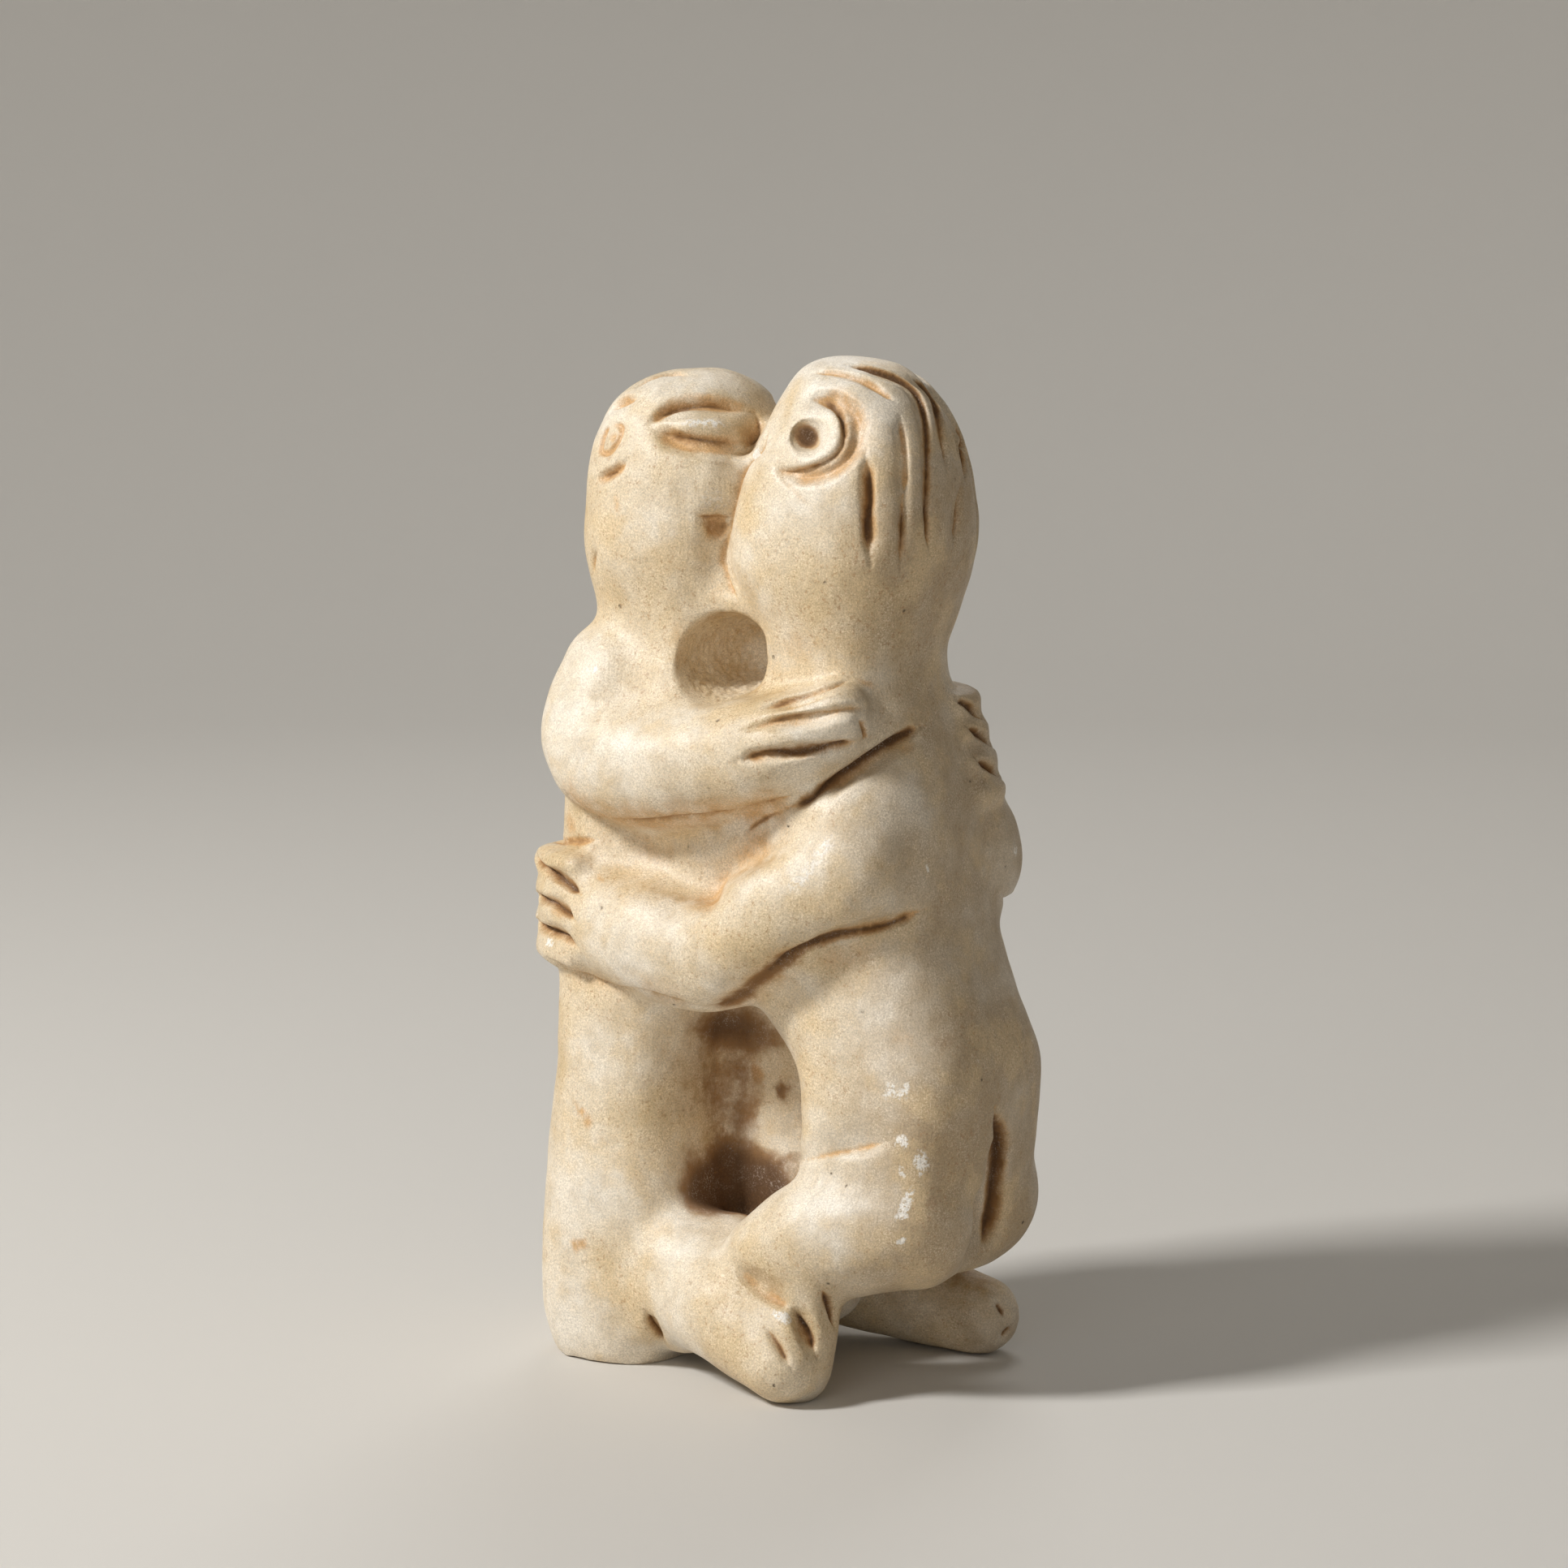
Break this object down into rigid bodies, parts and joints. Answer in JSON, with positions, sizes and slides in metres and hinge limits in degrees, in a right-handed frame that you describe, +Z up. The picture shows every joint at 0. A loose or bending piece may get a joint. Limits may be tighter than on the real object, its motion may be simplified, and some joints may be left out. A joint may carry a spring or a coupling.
{
  "type": "stone figurine",
  "caption": "Hand-held pale stone figurine of two seated figures embracing face to face, carved from one block, standing on its seat and feet.",
  "frame": {"origin": "on the ground, in the middle of the box round the whole figurine", "axes": "+Z up through the heads, +X from the left figure's back to the right figure's back, -Y towards the side seen in the picture"},
  "size_m": [0.0602, 0.0418, 0.118],
  "materials": {
    "pale_stone": "worn matte polish with ochre dirt in the grooves"
  },
  "bodies": {
    "root": {"embracing_couple": "pale_stone"}
  },
  "joints": []
}
